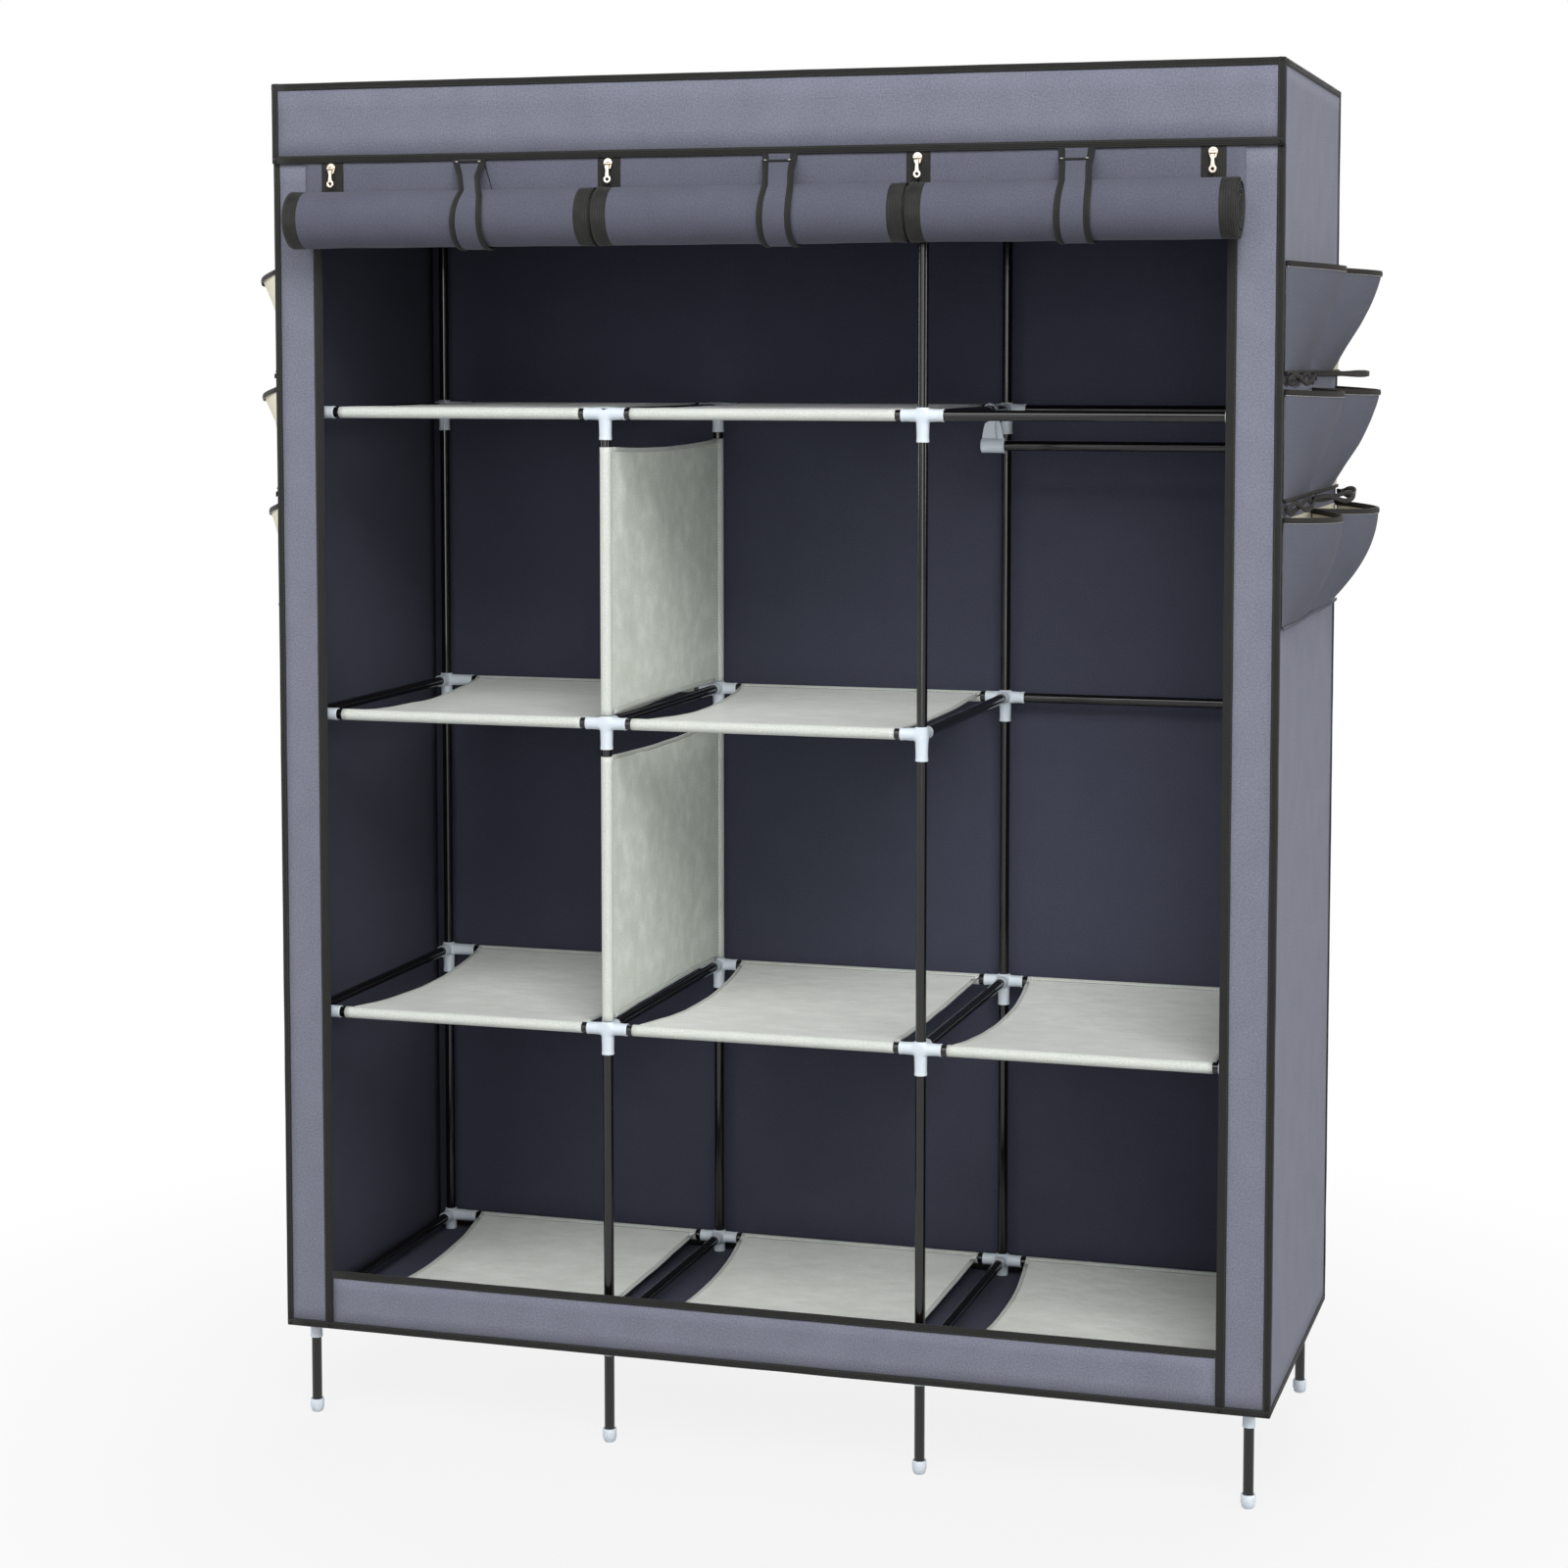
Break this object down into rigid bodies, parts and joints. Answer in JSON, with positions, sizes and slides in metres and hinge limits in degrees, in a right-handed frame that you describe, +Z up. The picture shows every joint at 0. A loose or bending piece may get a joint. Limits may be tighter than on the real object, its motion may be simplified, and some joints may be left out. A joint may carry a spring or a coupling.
{
  "type": "portable fabric wardrobe",
  "caption": "Free-standing wardrobe of steel tubes in plastic connectors, with cloth shelves, a hanging rod and a fabric cover with rolled-up doors and side pockets.",
  "frame": {"origin": "on the floor, at the middle of the box round the whole wardrobe", "axes": "+Z up, +X to the viewer's right when the doors are seen from the front, +Y towards the back panel"},
  "size_m": [1.4146, 0.5819, 1.7318],
  "materials": {
    "tube": "gloss black enamel on thin steel tube",
    "connector": "moulded polypropylene, cool white",
    "cover_cloth": "grey-blue non-woven cloth with dark bound edges",
    "pocket_cloth": "grey-blue non-woven cloth with dark bound rims",
    "door_cloth": "grey-blue non-woven cloth",
    "strap_webbing": "cloth strap with dark bound edges",
    "lining": "pale grey-green non-woven cloth with a soft sheen",
    "zip_metal": "pale nickel plate"
  },
  "bodies": {
    "wardrobe": {"foot_front_1": "connector", "post_front_1": "tube", "foot_front_2": "connector", "post_front_2": "tube", "foot_front_3": "connector", "post_front_3": "tube", "foot_front_4": "connector", "post_front_4": "tube", "foot_back_1": "connector", "post_back_1": "tube", "foot_back_2": "connector", "post_back_2": "tube", "foot_back_3": "connector", "post_back_3": "tube", "foot_back_4": "connector", "post_back_4": "tube", "frame_level_1": "tube", "frame_level_2": "tube", "frame_level_3": "tube", "frame_level_4": "tube", "frame_top": "tube", "shelf_level_1_bay_1": "lining", "shelf_level_1_bay_2": "lining", "shelf_level_1_bay_3": "lining", "shelf_level_2_bay_1": "lining", "shelf_level_2_bay_2": "lining", "shelf_level_2_bay_3": "lining", "shelf_level_3_bay_1": "lining", "shelf_level_3_bay_2": "lining", "shelf_level_4_bay_1": "lining", "shelf_level_4_bay_2": "lining", "divider_lower": "lining", "divider_upper": "lining", "cover": "cover_cloth", "pocket_right_1": "pocket_cloth", "pocket_right_2": "pocket_cloth", "pocket_right_3": "pocket_cloth", "pocket_left_1": "pocket_cloth", "pocket_left_2": "pocket_cloth", "pocket_left_3": "pocket_cloth", "door_sheet_left": "door_cloth", "door_strap_left": "strap_webbing", "door_sheet_middle": "door_cloth", "door_strap_middle": "strap_webbing", "door_sheet_right": "door_cloth", "door_strap_right": "strap_webbing"},
    "rod": {"hanging_rod": "tube", "rod_hook_left": "connector", "rod_hook_right": "connector"},
    "door_left": {"door_roll_left": "door_cloth"},
    "door_middle": {"door_roll_middle": "door_cloth"},
    "door_right": {"door_roll_right": "door_cloth"},
    "slider_1": {"zip_slider_1": "zip_metal"},
    "pull_1": {"zip_pull_1": "zip_metal"},
    "slider_2": {"zip_slider_2": "zip_metal"},
    "pull_2": {"zip_pull_2": "zip_metal"},
    "slider_3": {"zip_slider_3": "zip_metal"},
    "pull_3": {"zip_pull_3": "zip_metal"},
    "slider_4": {"zip_slider_4": "zip_metal"},
    "pull_4": {"zip_pull_4": "zip_metal"}
  },
  "joints": [
    {"name": "rod_slide", "type": "slide", "parent": "wardrobe", "child": "rod", "axis": [0, 1, 0], "range_m": [-0.32, 0.06]},
    {"name": "door_drop_left", "type": "slide", "parent": "wardrobe", "child": "door_left", "axis": [0, 0, -1], "range_m": [0, 1.37], "deforming": ["door_sheet_left", "door_strap_left"]},
    {"name": "door_drop_middle", "type": "slide", "parent": "wardrobe", "child": "door_middle", "axis": [0, 0, -1], "range_m": [0, 1.37], "deforming": ["door_sheet_middle", "door_strap_middle"]},
    {"name": "door_drop_right", "type": "slide", "parent": "wardrobe", "child": "door_right", "axis": [0, 0, -1], "range_m": [0, 1.37], "deforming": ["door_sheet_right", "door_strap_right"]},
    {"name": "zip_slide_1", "type": "slide", "parent": "wardrobe", "child": "slider_1", "axis": [0, 0, -1], "range_m": [0, 0.006]},
    {"name": "pull_swing_1", "type": "hinge", "parent": "slider_1", "child": "pull_1", "pos_m": [-0.561, -0.22567, 1.6243], "axis": [-1, 0, 0], "range_deg": [0, 150]},
    {"name": "zip_slide_2", "type": "slide", "parent": "wardrobe", "child": "slider_2", "axis": [0, 0, -1], "range_m": [0, 0.006]},
    {"name": "pull_swing_2", "type": "hinge", "parent": "slider_2", "child": "pull_2", "pos_m": [-0.1883, -0.22567, 1.6243], "axis": [-1, 0, 0], "range_deg": [0, 150]},
    {"name": "zip_slide_3", "type": "slide", "parent": "wardrobe", "child": "slider_3", "axis": [0, 0, -1], "range_m": [0, 0.006]},
    {"name": "pull_swing_3", "type": "hinge", "parent": "slider_3", "child": "pull_3", "pos_m": [0.2056, -0.22567, 1.6243], "axis": [-1, 0, 0], "range_deg": [0, 150]},
    {"name": "zip_slide_4", "type": "slide", "parent": "wardrobe", "child": "slider_4", "axis": [0, 0, -1], "range_m": [0, 0.006]},
    {"name": "pull_swing_4", "type": "hinge", "parent": "slider_4", "child": "pull_4", "pos_m": [0.561, -0.22567, 1.6243], "axis": [-1, 0, 0], "range_deg": [0, 150]}
  ]
}
